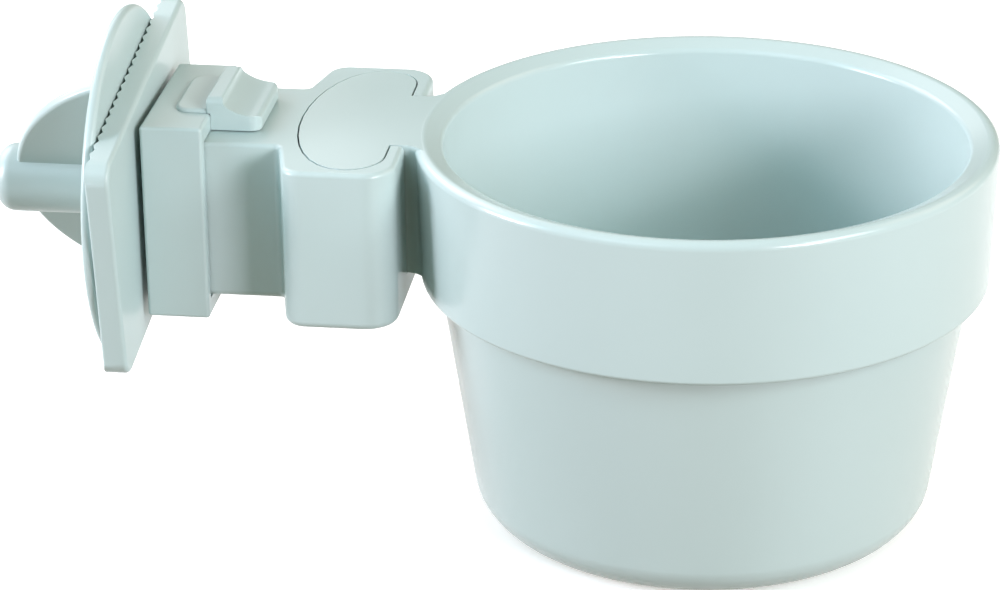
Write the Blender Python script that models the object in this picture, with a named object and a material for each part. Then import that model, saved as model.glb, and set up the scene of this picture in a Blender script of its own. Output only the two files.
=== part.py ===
"""Small animal food bowl that clamps to a cage wall.

A flower-pot shaped bowl carries a tongue with a bean-shaped head. The head is pressed
into the socket of an arm, the arm plugs into a sleeve with a thumb latch, and the bolt
in the sleeve's back carries a ridged jaw plate, a pressure disc and a wing knob, which
grip the wires of a cage between them.

Units are metres. The origin lies on the bowl's axis, on the surface it stands on.
+Z is up and the clamp lies towards -X.
"""
from math import acos, asin, atan2, copysign, cos, hypot, pi, radians, sin, sqrt, tan

import bmesh
import bpy
from mathutils import Matrix, Vector

# Fits
SEAT_GAP = 0.0003

# Bowl: a turned cup with a thick collar
BOWL_HEIGHT = 0.0768
RIM_RADIUS = 0.0550
RIM_WIDTH = 0.0056
RIM_OUTER_ROUND = 0.0016
RIM_INNER_ROUND = 0.0038
COLLAR_HEIGHT = 0.0277
COLLAR_DRAFT = 0.0010
COLLAR_FOOT_ROUND = 0.0007
STEP_WIDTH = 0.0034
WALL_TAPER = radians(8.6)
WALL = 0.0030
FLOOR = 0.0036
BASE_ROUND = 0.0078
INNER_ROUND = 0.0100

# Tongue on the bowl, pressed into the arm's socket
TONGUE_DROP = 0.0001
TONGUE_BITE = 0.0010
NECK_WIDTH = 0.0290
NECK_DEPTH = 0.0257
NECK_FILLET = 0.0024
HEAD_WIDTH = 0.0526
HEAD_LENGTH = 0.0186
HEAD_CORNER = 0.0070
HEAD_WALL = 0.0022

# Arm with its socket block
BLOCK_DEPTH = 0.0313
BLOCK_BACK_WALL = 0.0019
BLOCK_BACK_SLANT = 0.0030
BLOCK_BACK_CORNER = 0.0040
BLOCK_FRONT_CORNER = 0.0060
BLOCK_FOOT_ROUND = 0.0024
LIP_THICKNESS = 0.0028
SOCKET_WALL = 0.0022
SOCKET_FLOOR = 0.0024
ARM_WIDTH = 0.0310
ARM_REACH = 0.0141
ARM_INSERTION = 0.0092
ARM_WALL = 0.0022
ARM_FILLET = 0.0015
ARM_EDGE_ROUND = 0.0009

# Sleeve that the arm plugs into
SLEEVE_ROOF = 0.0031
SLEEVE_SIDE = 0.0019
SLEEVE_FLOOR = 0.0035
SLEEVE_BACK = 0.0024
SLEEVE_EDGE_ROUND = 0.0010
SHOULDER_RADIUS = 0.0090
SHOULDER_HEIGHT = 0.0005

# Thumb latch on the sleeve's roof
LATCH_WIDTH = 0.0182
LATCH_ROOT = 0.0074
LATCH_ROOT_RISE = 0.0005
LATCH_PLATE = 0.0015
LATCH_RIDGE_SETBACK = 0.0007
LATCH_RIDGE_LENGTH = 0.0031
LATCH_RIDGE_HEIGHT = 0.0032
LATCH_RIDGE_STEP = 0.0012
LATCH_OVERHANG = 0.0097
LATCH_END_HEIGHT = 0.0029
LATCH_SLOPE_END = 0.0044
LATCH_END_ROUND = 0.0009
LATCH_LIP = 0.0003
LATCH_HINGE_INSET = 0.0004
LATCH_LIFT = radians(10.0)
TOOTH_SETBACK = 0.0021
TOOTH_LENGTH = 0.0020
TOOTH_WIDTH = 0.0120
TOOTH_DEPTH = 0.0013
SLEEVE_TRAVEL = 0.0200

# Bolt
BOLT_DROP = 0.0147
BOLT_RADIUS = 0.0040
BOLT_HEAD_RADIUS = 0.0070
BOLT_CROWN_RADIUS = 0.0052
BOLT_HEAD_THICKNESS = 0.0032
BOLT_NECK_SIDE = 0.0088
BOLT_REACH = 0.0262
BOLT_TIP_CHAMFER = 0.0010

# Ridged jaw plate
PLATE_WIDTH = 0.0699
PLATE_HEIGHT = 0.0458
PLATE_THICKNESS = 0.0048
PLATE_CORNER = 0.0040
PLATE_EDGE_ROUND = 0.0008
PLATE_TURN = radians(8.8)
RIDGE_PITCH = 0.00324
RIDGE_DEPTH = 0.0006
RIDGE_MARGIN = 0.0024

# Pressure disc and wing knob
DISC_RADIUS = 0.0341
DISC_THICKNESS = 0.0021
DISC_EDGE_ROUND = 0.0008
SPIGOT_WALL = 0.0017
BOSS_RADIUS = 0.0066
BOSS_LENGTH = 0.0240
BOSS_TIP_ROUND = 0.0036
BOSS_END_WALL = 0.0026
WING_RADIUS = 0.0333
WING_HEIGHT = 0.0199
WING_THICKNESS = 0.0024
WING_EDGE_ROUND = 0.0008
WING_TURN = radians(32.7)

# Fineness of round shapes
BOWL_STEPS = 80
ROUND_STEPS = 48
ARC_STEPS = 6
EDGE_STEPS = 3
SHARP_ANGLE = radians(30)
SAME_PLACE = 0.00001

# Places that several pieces share
TOP_Z = BOWL_HEIGHT - TONGUE_DROP
MOUTH_RADIUS = RIM_RADIUS - RIM_WIDTH
COLLAR_FOOT_RADIUS = RIM_RADIUS - COLLAR_DRAFT
BLOCK_FRONT_X = -RIM_RADIUS - SEAT_GAP
HEAD_FRONT_X = BLOCK_FRONT_X - LIP_THICKNESS
HEAD_MID_X = HEAD_FRONT_X - HEAD_CORNER
HEAD_BACK_X = HEAD_FRONT_X - HEAD_LENGTH
BLOCK_BACK_X = HEAD_BACK_X - BLOCK_BACK_WALL
BLOCK_FLOOR_Z = TOP_Z - BLOCK_DEPTH
HEAD_FLOOR_Z = BLOCK_FLOOR_Z + SOCKET_FLOOR + SEAT_GAP
NECK_FLOOR_Z = TOP_Z - NECK_DEPTH
SLEEVE_MOUTH_X = BLOCK_BACK_X - ARM_REACH
ARM_END_X = SLEEVE_MOUTH_X - ARM_INSERTION
SLEEVE_STOP_X = ARM_END_X - SEAT_GAP
SLEEVE_BACK_X = SLEEVE_STOP_X - SLEEVE_BACK
SLEEVE_TOP_Z = TOP_Z + SEAT_GAP + SLEEVE_ROOF
SHOULDER_X = SLEEVE_BACK_X - SHOULDER_HEIGHT
PLATE_X = SHOULDER_X - SEAT_GAP
DISC_X = PLATE_X - PLATE_THICKNESS - SEAT_GAP
KNOB_X = DISC_X - DISC_THICKNESS - SEAT_GAP
AXIS_Z = TOP_Z - BOLT_DROP
LATCH_ROOT_Z = SLEEVE_TOP_Z + LATCH_ROOT_RISE
LATCH_SEAT_Z = LATCH_ROOT_Z - LATCH_PLATE - SEAT_GAP
LATCH_LEFT_X = SLEEVE_MOUTH_X - LATCH_ROOT
LATCH_HINGE_X = LATCH_LEFT_X + LATCH_HINGE_INSET
LATCH_HINGE_Z = LATCH_ROOT_Z - LATCH_PLATE / 2
LATCH_END_X = SLEEVE_MOUTH_X + LATCH_OVERHANG
TOOTH_FRONT_X = LATCH_END_X - TOOTH_SETBACK
TOOTH_BACK_X = TOOTH_FRONT_X - TOOTH_LENGTH
TOOTH_TIP_Z = TOP_Z + SEAT_GAP - TOOTH_DEPTH

MINT_PLASTIC = (0.56, 0.72, 0.71, 1.0)
PLASTIC_ROUGHNESS = 0.25


def arc(centre_x, centre_y, radius, start, end, steps):
    """Points on a circle between two angles in radians."""
    points = []
    for step in range(steps + 1):
        angle = start + (end - start) * step / steps
        points.append((centre_x + radius * cos(angle), centre_y + radius * sin(angle)))
    return points


def bend(start, knee, end, steps):
    """Points inside a curve that leaves start towards knee and arrives at end from it."""
    points = []
    for step in range(1, steps):
        share = step / steps
        points.append(tuple(
            (1 - share) ** 2 * a + 2 * share * (1 - share) * b + share ** 2 * c
            for a, b, c in zip(start, knee, end)
        ))
    return points


def rounded(before, corner, after, radius):
    """Points of the arc that rounds one corner of an outline."""
    back = (Vector(before) - Vector(corner)).normalized()
    ahead = (Vector(after) - Vector(corner)).normalized()
    half_angle = back.angle(ahead) / 2
    centre = Vector(corner) + (back + ahead).normalized() * radius / sin(half_angle)
    start = Vector(corner) + back * radius / tan(half_angle) - centre
    start_angle = atan2(start.y, start.x)
    sweep = copysign(pi - 2 * half_angle, ahead.cross(back))
    return arc(centre.x, centre.y, radius, start_angle, start_angle + sweep, ARC_STEPS)


def mirrored(half_outline):
    """Close an outline given for y above zero with its mirror image."""
    return half_outline + [(x, -y) for x, y in reversed(half_outline) if y > SAME_PLACE]


def finish(name, shape, place=Matrix.Identity(4)):
    """Turn a bmesh into a named object with its own plastic."""
    mesh = bpy.data.meshes.new(name)
    shape.to_mesh(mesh)
    shape.free()
    mesh.shade_smooth()
    mesh.set_sharp_from_angle(angle=SHARP_ANGLE)
    plastic = bpy.data.materials.new(name + "_plastic")
    plastic.use_nodes = True
    shader = plastic.node_tree.nodes["Principled BSDF"]
    shader.inputs["Base Color"].default_value = MINT_PLASTIC
    shader.inputs["Roughness"].default_value = PLASTIC_ROUGHNESS
    shader.inputs["Metallic"].default_value = 0.0
    mesh.materials.append(plastic)
    piece = bpy.data.objects.new(name, mesh)
    piece.matrix_world = place
    bpy.context.scene.collection.objects.link(piece)
    return piece


def carry(piece, name, point):
    """Hang a moving piece on an empty that marks its joint's axis."""
    pivot = bpy.data.objects.new(name, None)
    pivot.location = point
    bpy.context.scene.collection.objects.link(pivot)
    piece.parent = pivot
    piece.matrix_parent_inverse = Matrix.Translation(point).inverted()


def combine(piece, name, shape, operation):
    """Cut a shape out of a piece, join it on or keep only what both share."""
    tool = finish(name, shape, piece.matrix_world.copy())
    tool.hide_render = True
    tool.display_type = "WIRE"
    boolean = piece.modifiers.new(name, "BOOLEAN")
    boolean.operation = operation
    boolean.solver = "EXACT"
    boolean.object = tool


def prism(outline, low, high):
    """Extrude a flat outline straight up between two heights."""
    shape = bmesh.new()
    base = shape.faces.new([shape.verts.new((x, y, low)) for x, y in outline])
    grown = bmesh.ops.extrude_face_region(shape, geom=[base])
    raised = [item for item in grown["geom"] if isinstance(item, bmesh.types.BMVert)]
    bmesh.ops.translate(shape, verts=raised, vec=(0, 0, high - low))
    bmesh.ops.recalc_face_normals(shape, faces=shape.faces)
    return shape


def slab(outline, low, high):
    """Extrude an outline drawn in X and Z sideways between two values of Y."""
    shape = prism(outline, -high, -low)
    bmesh.ops.rotate(shape, verts=shape.verts, matrix=Matrix.Rotation(pi / 2, 3, "X"))
    return shape


def box(low, high):
    """A plain block between two corners."""
    outline = [(low[0], low[1]), (high[0], low[1]), (high[0], high[1]), (low[0], high[1])]
    return prism(outline, low[2], high[2])


def round_edges(shape, edges, width):
    """Round chosen edges of a shape."""
    bmesh.ops.bevel(
        shape, geom=edges, offset=width, offset_type="OFFSET", segments=EDGE_STEPS,
        profile=0.5, affect="EDGES", clamp_overlap=True, material=-1,
    )


def rim_edges(shape, height):
    """Edges that lie flat at one height."""
    return [edge for edge in shape.edges
            if all(abs(vert.co.z - height) < SAME_PLACE for vert in edge.verts)]


def upright_edges(shape):
    """Edges that run straight up."""
    return [edge for edge in shape.edges
            if hypot(*(edge.verts[0].co - edge.verts[1].co).xy) < SAME_PLACE]


def turn(profile, steps):
    """Revolve a profile of (radius, height) points, outer side first, about Z."""
    shape = bmesh.new()
    verts = [shape.verts.new((radius, 0, height)) for radius, height in profile]
    edges = [shape.edges.new(pair) for pair in zip(verts, verts[1:])]
    bmesh.ops.spin(
        shape, geom=verts + edges, cent=(0, 0, 0), axis=(0, 0, 1), angle=2 * pi,
        steps=steps, use_merge=True,
    )
    bmesh.ops.remove_doubles(shape, verts=shape.verts, dist=SAME_PLACE / 10)
    bmesh.ops.recalc_face_normals(shape, faces=shape.faces)
    return shape


def along_clamp(x, roll=0.0):
    """Place a turned piece on the bolt's axis, its own Z pointing to -X."""
    lay_down = Matrix.Rotation(-pi / 2, 4, "Y")
    return Matrix.Translation((x, 0, AXIS_Z)) @ Matrix.Rotation(roll, 4, "X") @ lay_down


def head_outline(grow):
    """The tongue head seen from above, grown or shrunk all round."""
    half_width = HEAD_WIDTH / 2 + grow
    corner = HEAD_CORNER + grow
    back = HEAD_LENGTH - HEAD_CORNER + grow
    half = arc(HEAD_MID_X, half_width - corner, corner, 0, pi / 2, ARC_STEPS)
    for x, y in arc(0, 0, 1, pi / 2, pi, 2 * ARC_STEPS)[1:]:
        half.append((HEAD_MID_X + back * x, half_width * y))
    return mirrored(half)


def bowl_profile():
    """Half section of the bowl, from the rim down the outside and up the inside."""
    step_z = BOWL_HEIGHT - COLLAR_HEIGHT
    step_radius = COLLAR_FOOT_RADIUS - STEP_WIDTH
    base_radius = step_radius - step_z * tan(WALL_TAPER)
    corner_reach = BASE_ROUND * tan((pi / 2 - WALL_TAPER) / 2)
    foot_radius = base_radius - corner_reach
    outside = arc(
        RIM_RADIUS - RIM_OUTER_ROUND, BOWL_HEIGHT - RIM_OUTER_ROUND, RIM_OUTER_ROUND,
        pi / 2, 0, EDGE_STEPS,
    )
    outside += arc(
        COLLAR_FOOT_RADIUS - COLLAR_FOOT_ROUND, step_z + COLLAR_FOOT_ROUND,
        COLLAR_FOOT_ROUND, 0, -pi / 2, EDGE_STEPS,
    )
    outside.append((step_radius, step_z))
    outside += arc(foot_radius, BASE_ROUND, BASE_ROUND, -WALL_TAPER, -pi / 2, ARC_STEPS)
    outside.append((0, 0))
    wall_run = WALL / cos(WALL_TAPER)
    knee = (step_radius - wall_run, step_z)
    inner_foot = base_radius - wall_run - INNER_ROUND * tan((pi / 2 - WALL_TAPER) / 2)
    inside = [(0, FLOOR)]
    inside += arc(
        inner_foot, FLOOR + INNER_ROUND, INNER_ROUND, -pi / 2, -WALL_TAPER, ARC_STEPS,
    )
    lip_z = BOWL_HEIGHT - RIM_INNER_ROUND
    inside += bend(inside[-1], knee, (MOUTH_RADIUS, lip_z), ARC_STEPS)
    inside += arc(
        MOUTH_RADIUS + RIM_INNER_ROUND, lip_z, RIM_INNER_ROUND, pi, pi / 2, ARC_STEPS,
    )
    return outside + inside + outside[:1]


def make_bowl():
    """The bowl with its tongue: a short neck off the collar and the bean-shaped head."""
    bowl = finish("bowl", turn(bowl_profile(), BOWL_STEPS))
    half_neck = NECK_WIDTH / 2
    fillet_y = half_neck + NECK_FILLET
    fillet_x = -sqrt((COLLAR_FOOT_RADIUS + NECK_FILLET) ** 2 - fillet_y ** 2)
    meets_collar = atan2(-fillet_y, -fillet_x)
    half = [(HEAD_MID_X, half_neck)]
    half += arc(fillet_x, fillet_y, NECK_FILLET, -pi / 2, meets_collar, EDGE_STEPS)
    root_radius = COLLAR_FOOT_RADIUS - TONGUE_BITE
    root_y = half[-1][1]
    half += arc(0, 0, root_radius, pi - asin(root_y / root_radius), pi, ARC_STEPS)
    combine(bowl, "tongue_neck", prism(mirrored(half), NECK_FLOOR_Z, TOP_Z), "UNION")
    combine(bowl, "tongue_head", prism(head_outline(0), HEAD_FLOOR_Z, TOP_Z), "UNION")
    hollow = prism(head_outline(-HEAD_WALL), HEAD_FLOOR_Z - HEAD_WALL, TOP_Z - HEAD_WALL)
    combine(bowl, "head_hollow", hollow, "DIFFERENCE")


def make_socket_arm():
    """The arm: a square tube whose front end widens into the C-shaped socket block."""
    half_arm = ARM_WIDTH / 2
    half_block = HEAD_WIDTH / 2 + SEAT_GAP + SOCKET_WALL
    arm_end = (ARM_END_X, half_arm)
    arm_root = (BLOCK_BACK_X, half_arm)
    back_corner = (BLOCK_BACK_X + BLOCK_BACK_SLANT, half_block)
    front_corner = (BLOCK_FRONT_X, half_block)
    half = [arm_end]
    half += rounded(arm_end, arm_root, back_corner, ARM_FILLET)
    half += rounded(arm_root, back_corner, front_corner, BLOCK_BACK_CORNER)
    half += rounded(back_corner, front_corner, (BLOCK_FRONT_X, 0), BLOCK_FRONT_CORNER)
    body = prism(mirrored(half), BLOCK_FLOOR_Z, TOP_Z)
    round_edges(body, rim_edges(body, BLOCK_FLOOR_Z), BLOCK_FOOT_ROUND)
    round_edges(body, rim_edges(body, TOP_Z), ARM_EDGE_ROUND)
    arm = finish("socket_arm", body)

    above = TOP_Z + BLOCK_DEPTH
    socket = prism(head_outline(SEAT_GAP), HEAD_FLOOR_Z - SEAT_GAP, above)
    combine(arm, "head_socket", socket, "DIFFERENCE")
    slot_y = NECK_WIDTH / 2 + SEAT_GAP
    slot = box(
        (HEAD_MID_X, -slot_y, NECK_FLOOR_Z - SEAT_GAP), (BLOCK_FRONT_X / 2, slot_y, above),
    )
    combine(arm, "neck_slot", slot, "DIFFERENCE")
    core_y = half_arm - ARM_WALL
    core = box(
        (ARM_END_X - ARM_INSERTION, -core_y, BLOCK_FLOOR_Z + ARM_WALL),
        (HEAD_BACK_X - SEAT_GAP - ARM_WALL, core_y, TOP_Z - ARM_WALL),
    )
    combine(arm, "arm_hollow", core, "DIFFERENCE")
    combine(arm, "latch_catch", make_catch(), "DIFFERENCE")


def make_catch():
    """The catch in the arm's top: a pocket for the latch tooth that ramps out to the back.

    The ramp follows the tooth's tip as the latch lifts while the sleeve is drawn off.
    """
    reach = TOOTH_BACK_X - LATCH_HINGE_X
    drop = TOOTH_TIP_Z - LATCH_HINGE_Z
    lifted_x = LATCH_HINGE_X + reach * cos(LATCH_LIFT) - drop * sin(LATCH_LIFT)
    lifted_z = LATCH_HINGE_Z + reach * sin(LATCH_LIFT) + drop * cos(LATCH_LIFT)
    back_x = TOOTH_BACK_X - SEAT_GAP
    front_x = TOOTH_FRONT_X + 2 * SEAT_GAP
    floor_z = TOOTH_TIP_Z - SEAT_GAP
    ramp_x = lifted_x - SLEEVE_TRAVEL - SEAT_GAP
    ramp_z = lifted_z - SEAT_GAP
    above = max(ramp_z, TOP_Z) + TOOTH_DEPTH
    outline = [(front_x, floor_z), (front_x, above), (ramp_x, above)]
    outline += [(ramp_x, ramp_z), (back_x, floor_z)]
    half_width = TOOTH_WIDTH / 2 + SEAT_GAP
    return slab(outline, -half_width, half_width)


def make_receiver_sleeve():
    """The sleeve: a short square box, open to the arm, with a bolt hole in its back."""
    inner_y = ARM_WIDTH / 2 + SEAT_GAP
    inner_top = TOP_Z + SEAT_GAP
    inner_floor = BLOCK_FLOOR_Z - SEAT_GAP
    outer_y = inner_y + SLEEVE_SIDE
    body = box(
        (SLEEVE_BACK_X, -outer_y, inner_floor - SLEEVE_FLOOR),
        (SLEEVE_MOUTH_X, outer_y, SLEEVE_TOP_Z),
    )
    round_edges(body, list(body.edges), SLEEVE_EDGE_ROUND)
    sleeve = finish("receiver_sleeve", body)
    carry(sleeve, "sleeve_guide", (SLEEVE_BACK_X, 0, AXIS_Z))

    inside = box((SLEEVE_STOP_X, -inner_y, inner_floor), (0, inner_y, inner_top))
    combine(sleeve, "arm_opening", inside, "DIFFERENCE")
    recess_y = LATCH_WIDTH / 2 + SEAT_GAP
    recess = box((LATCH_LEFT_X - SEAT_GAP, -recess_y, LATCH_SEAT_Z), (0, recess_y, 2 * TOP_Z))
    combine(sleeve, "latch_recess", recess, "DIFFERENCE")
    ring = [
        (0, SHOULDER_HEIGHT), (SHOULDER_RADIUS, SHOULDER_HEIGHT),
        (SHOULDER_RADIUS, -SLEEVE_BACK / 2), (0, -SLEEVE_BACK / 2),
    ]
    shoulder = turn(ring, ROUND_STEPS)
    shoulder.transform(along_clamp(SLEEVE_BACK_X))
    combine(sleeve, "shoulder", shoulder, "UNION")
    hole = BOLT_NECK_SIDE / 2 + SEAT_GAP
    bolt_hole = box(
        (SHOULDER_X - SHOULDER_HEIGHT, -hole, AXIS_Z - hole),
        (ARM_END_X, hole, AXIS_Z + hole),
    )
    combine(sleeve, "bolt_hole", bolt_hole, "DIFFERENCE")


def make_latch_lever():
    """The thumb latch: a thin root in the roof, a ridge, a dished slope and a tooth below.

    The root stands a little proud of the roof, and the ridge's front falls in a small step.
    """
    under_z = TOP_Z + SEAT_GAP
    root_z = LATCH_ROOT_Z - LATCH_PLATE
    ridge_back_x = SLEEVE_MOUTH_X - LATCH_RIDGE_SETBACK
    ridge_front_x = ridge_back_x + LATCH_RIDGE_LENGTH
    ridge_z = SLEEVE_TOP_Z + LATCH_RIDGE_HEIGHT
    end_z = under_z + LATCH_END_HEIGHT
    slope_x = LATCH_END_X - LATCH_SLOPE_END
    nose_x = SLEEVE_MOUTH_X + SEAT_GAP
    outline = [(LATCH_LEFT_X, root_z), (nose_x, root_z), (nose_x, under_z)]
    outline += [(TOOTH_BACK_X, under_z), (TOOTH_BACK_X, TOOTH_TIP_Z)]
    outline += [(TOOTH_FRONT_X, TOOTH_TIP_Z), (TOOTH_FRONT_X, under_z)]
    outline.append((LATCH_END_X, under_z))
    outline += arc(
        LATCH_END_X - LATCH_END_ROUND, end_z - LATCH_END_ROUND, LATCH_END_ROUND, 0, pi / 2,
        EDGE_STEPS,
    )
    ridge_foot = (ridge_front_x, ridge_z - LATCH_RIDGE_STEP)
    outline += bend(outline[-1], (slope_x, end_z), ridge_foot, ARC_STEPS)
    outline += [ridge_foot, (ridge_front_x, ridge_z - LATCH_LIP)]
    outline += [(ridge_front_x - LATCH_LIP, ridge_z), (ridge_back_x, ridge_z)]
    outline += [(ridge_back_x, LATCH_ROOT_Z), (LATCH_LEFT_X, LATCH_ROOT_Z)]
    half_width = LATCH_WIDTH / 2
    lever = finish("latch_lever", slab(outline, -half_width, half_width))
    carry(lever, "latch_pivot", (LATCH_HINGE_X, 0, LATCH_HINGE_Z))
    for name, side in (("tooth_side_near", -1), ("tooth_side_far", 1)):
        trim = box(
            (TOOTH_BACK_X - SEAT_GAP, side * TOOTH_WIDTH / 2, TOOTH_TIP_Z - SEAT_GAP),
            (TOOTH_FRONT_X + SEAT_GAP, side * LATCH_WIDTH, under_z),
        )
        combine(lever, name, trim, "DIFFERENCE")


def make_clamp_bolt():
    """The bolt: a pan head inside the sleeve, a square neck in its back and a round shank."""
    head_z = SLEEVE_BACK_X - SLEEVE_STOP_X - SEAT_GAP
    tip_z = SLEEVE_BACK_X - SHOULDER_X + BOLT_REACH
    profile = [
        (0, tip_z), (BOLT_RADIUS - BOLT_TIP_CHAMFER, tip_z),
        (BOLT_RADIUS, tip_z - BOLT_TIP_CHAMFER), (BOLT_RADIUS, head_z),
        (BOLT_HEAD_RADIUS, head_z),
        (BOLT_HEAD_RADIUS, head_z - BOLT_HEAD_THICKNESS / 2),
        (BOLT_CROWN_RADIUS, head_z - BOLT_HEAD_THICKNESS),
        (0, head_z - BOLT_HEAD_THICKNESS),
    ]
    bolt = finish("clamp_bolt", turn(profile, ROUND_STEPS), along_clamp(SLEEVE_BACK_X))
    half_side = BOLT_NECK_SIDE / 2
    neck = box(
        (-half_side, -half_side, head_z - BOLT_HEAD_THICKNESS / 2),
        (half_side, half_side, SHOULDER_HEIGHT),
    )
    combine(bolt, "square_neck", neck, "UNION")


def make_clamp_plate():
    """The jaw plate: upright V ridges face the disc, so the cage wires lie in them."""
    half_width = PLATE_WIDTH / 2
    half_height = PLATE_HEIGHT / 2
    count = int((PLATE_WIDTH - 2 * RIDGE_MARGIN) / RIDGE_PITCH)
    first = -count * RIDGE_PITCH / 2
    section = [(-half_width, 0), (half_width, 0), (half_width, PLATE_THICKNESS)]
    for ridge in reversed(range(count)):
        left = first + ridge * RIDGE_PITCH
        section.append((left + RIDGE_PITCH, PLATE_THICKNESS))
        section.append((left + RIDGE_PITCH / 2, PLATE_THICKNESS - RIDGE_DEPTH))
    section.append((first, PLATE_THICKNESS))
    section.append((-half_width, PLATE_THICKNESS))
    body = slab(section, -half_height, half_height)
    bmesh.ops.rotate(body, verts=body.verts, matrix=Matrix.Rotation(pi / 2, 3, "Z"))
    plate = finish("clamp_plate", body, along_clamp(PLATE_X, PLATE_TURN))

    corners = [(-half_height, -half_width), (half_height, -half_width),
               (half_height, half_width), (-half_height, half_width)]
    blank = prism(corners, 0, 2 * PLATE_THICKNESS)
    round_edges(blank, upright_edges(blank), PLATE_CORNER)
    round_edges(blank, rim_edges(blank, 0), PLATE_EDGE_ROUND)
    combine(plate, "plate_blank", blank, "INTERSECT")
    bore_radius = BOLT_RADIUS + SEAT_GAP
    bore = prism(arc(0, 0, bore_radius, 0, 2 * pi, ROUND_STEPS)[:-1], -SHOULDER_HEIGHT,
                 PLATE_THICKNESS + SHOULDER_HEIGHT)
    combine(plate, "plate_bore", bore, "DIFFERENCE")


def make_pressure_disc():
    """The round disc that the knob pushes on to the wires."""
    bore_radius = BOLT_RADIUS + SEAT_GAP + SPIGOT_WALL + SEAT_GAP
    edge = DISC_RADIUS - DISC_EDGE_ROUND
    profile = [(bore_radius, DISC_THICKNESS)]
    profile += arc(edge, DISC_THICKNESS - DISC_EDGE_ROUND, DISC_EDGE_ROUND, pi / 2, 0, EDGE_STEPS)
    profile += arc(edge, DISC_EDGE_ROUND, DISC_EDGE_ROUND, 0, -pi / 2, EDGE_STEPS)
    profile += [(bore_radius, 0), (bore_radius, DISC_THICKNESS)]
    finish("pressure_disc", turn(profile, BOWL_STEPS), along_clamp(DISC_X))


def make_wing_knob():
    """The knob: a blind threaded boss with a D-shaped wing through it."""
    bore = BOLT_RADIUS + SEAT_GAP
    spigot = bore + SPIGOT_WALL
    spigot_z = -DISC_THICKNESS
    tip = BOSS_LENGTH - BOSS_TIP_ROUND
    profile = [(0, BOSS_LENGTH)]
    profile += arc(BOSS_RADIUS - BOSS_TIP_ROUND, tip, BOSS_TIP_ROUND, pi / 2, 0, ARC_STEPS)
    profile += [
        (BOSS_RADIUS, 0), (spigot, 0), (spigot, spigot_z), (bore, spigot_z),
        (bore, BOSS_LENGTH - BOSS_END_WALL), (0, BOSS_LENGTH - BOSS_END_WALL),
    ]
    knob = finish("wing_knob", turn(profile, ROUND_STEPS), along_clamp(KNOB_X, WING_TURN))

    centre_z = WING_HEIGHT - WING_RADIUS
    root_x = (bore + BOSS_RADIUS) / 2
    foot_angle = asin(-centre_z / WING_RADIUS)
    rim = arc(0, centre_z, WING_RADIUS, foot_angle, acos(root_x / WING_RADIUS), 2 * ARC_STEPS)
    half_wing = WING_THICKNESS / 2
    for name, side in (("upper_wing", 1), ("lower_wing", -1)):
        outline = [(side * x, z) for x, z in [(root_x, 0)] + rim]
        wing = slab(outline, -half_wing, half_wing)
        edges = [edge for edge in wing.edges
                 if abs(edge.verts[0].co.y - edge.verts[1].co.y) < SAME_PLACE
                 and max(vert.co.z for vert in edge.verts) > SAME_PLACE
                 and max(abs(vert.co.x) for vert in edge.verts) > root_x + SAME_PLACE]
        round_edges(wing, edges, WING_EDGE_ROUND)
        combine(knob, name, wing, "UNION")


for leftover in list(bpy.data.objects):
    bpy.data.objects.remove(leftover, do_unlink=True)
make_bowl()
make_socket_arm()
make_receiver_sleeve()
make_latch_lever()
make_clamp_bolt()
make_clamp_plate()
make_pressure_disc()
make_wing_knob()
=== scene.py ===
"""Looks of a small animal's food bowl that clamps to a cage wall, built around its CAD frame."""
from math import cos, pi, radians, sin, tan

import bmesh
import bpy
from mathutils import Matrix, Vector


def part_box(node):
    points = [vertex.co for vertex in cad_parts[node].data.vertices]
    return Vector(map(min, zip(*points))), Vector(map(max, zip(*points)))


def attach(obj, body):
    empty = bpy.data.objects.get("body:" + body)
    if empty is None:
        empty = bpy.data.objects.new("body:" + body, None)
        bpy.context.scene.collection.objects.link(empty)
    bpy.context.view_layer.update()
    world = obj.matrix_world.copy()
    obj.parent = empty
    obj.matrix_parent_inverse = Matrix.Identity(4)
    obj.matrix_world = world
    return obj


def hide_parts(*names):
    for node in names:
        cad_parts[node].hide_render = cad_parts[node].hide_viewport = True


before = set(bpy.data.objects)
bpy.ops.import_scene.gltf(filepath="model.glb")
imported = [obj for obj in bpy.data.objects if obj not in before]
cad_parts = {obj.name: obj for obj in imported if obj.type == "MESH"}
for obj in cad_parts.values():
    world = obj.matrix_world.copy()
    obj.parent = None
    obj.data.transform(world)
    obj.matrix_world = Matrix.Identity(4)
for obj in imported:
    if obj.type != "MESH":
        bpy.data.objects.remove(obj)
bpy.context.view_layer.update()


# Bowl cup: a flower-pot shape with a thick collar, whose rim slopes in from its crown to a
# crisp edge. It is injection moulded in glossy pale mint plastic, in one with the tongue.
RIM_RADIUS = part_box("bowl")[1].x
RIM_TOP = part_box("bowl")[1].z
RIM_ROUND = 0.0016
CROWN_RADIUS = RIM_RADIUS - 0.0021
CROWN_ROUND = 0.0004
MOUTH_RADIUS = RIM_RADIUS - 0.0056
LIP_FALL = 0.00145
LIP_ROUND = 0.0008
COLLAR_FOOT_RADIUS = RIM_RADIUS - 0.0010
COLLAR_FOOT_ROUND = 0.0008
STEP_TOP = RIM_TOP - 0.0277
STEP_RADIUS = COLLAR_FOOT_RADIUS - 0.0034
STEP_ROUND = 0.0005
WALL_TAPER = radians(8.6)
WALL = 0.0030
WALL_BEND = 0.0210
CUP_FLOOR = 0.0036
CUP_FLOOR_ROUND = 0.0086
BASE_RADIUS = STEP_RADIUS - STEP_TOP * tan(WALL_TAPER)
BASE_ROUND = 0.0067
INNER_RADIUS = BASE_RADIUS - WALL / cos(WALL_TAPER)
CUP_STEPS = 192
ROUND_SEGMENTS = 8
SAME_PLACE = 0.000002
SHARP_ANGLE = radians(35)
MINT_PALE = (0.510, 0.628, 0.620, 1)
MINT_DEEP = (0.492, 0.610, 0.602, 1)
RUBBED_DULLER = 0.03


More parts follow.
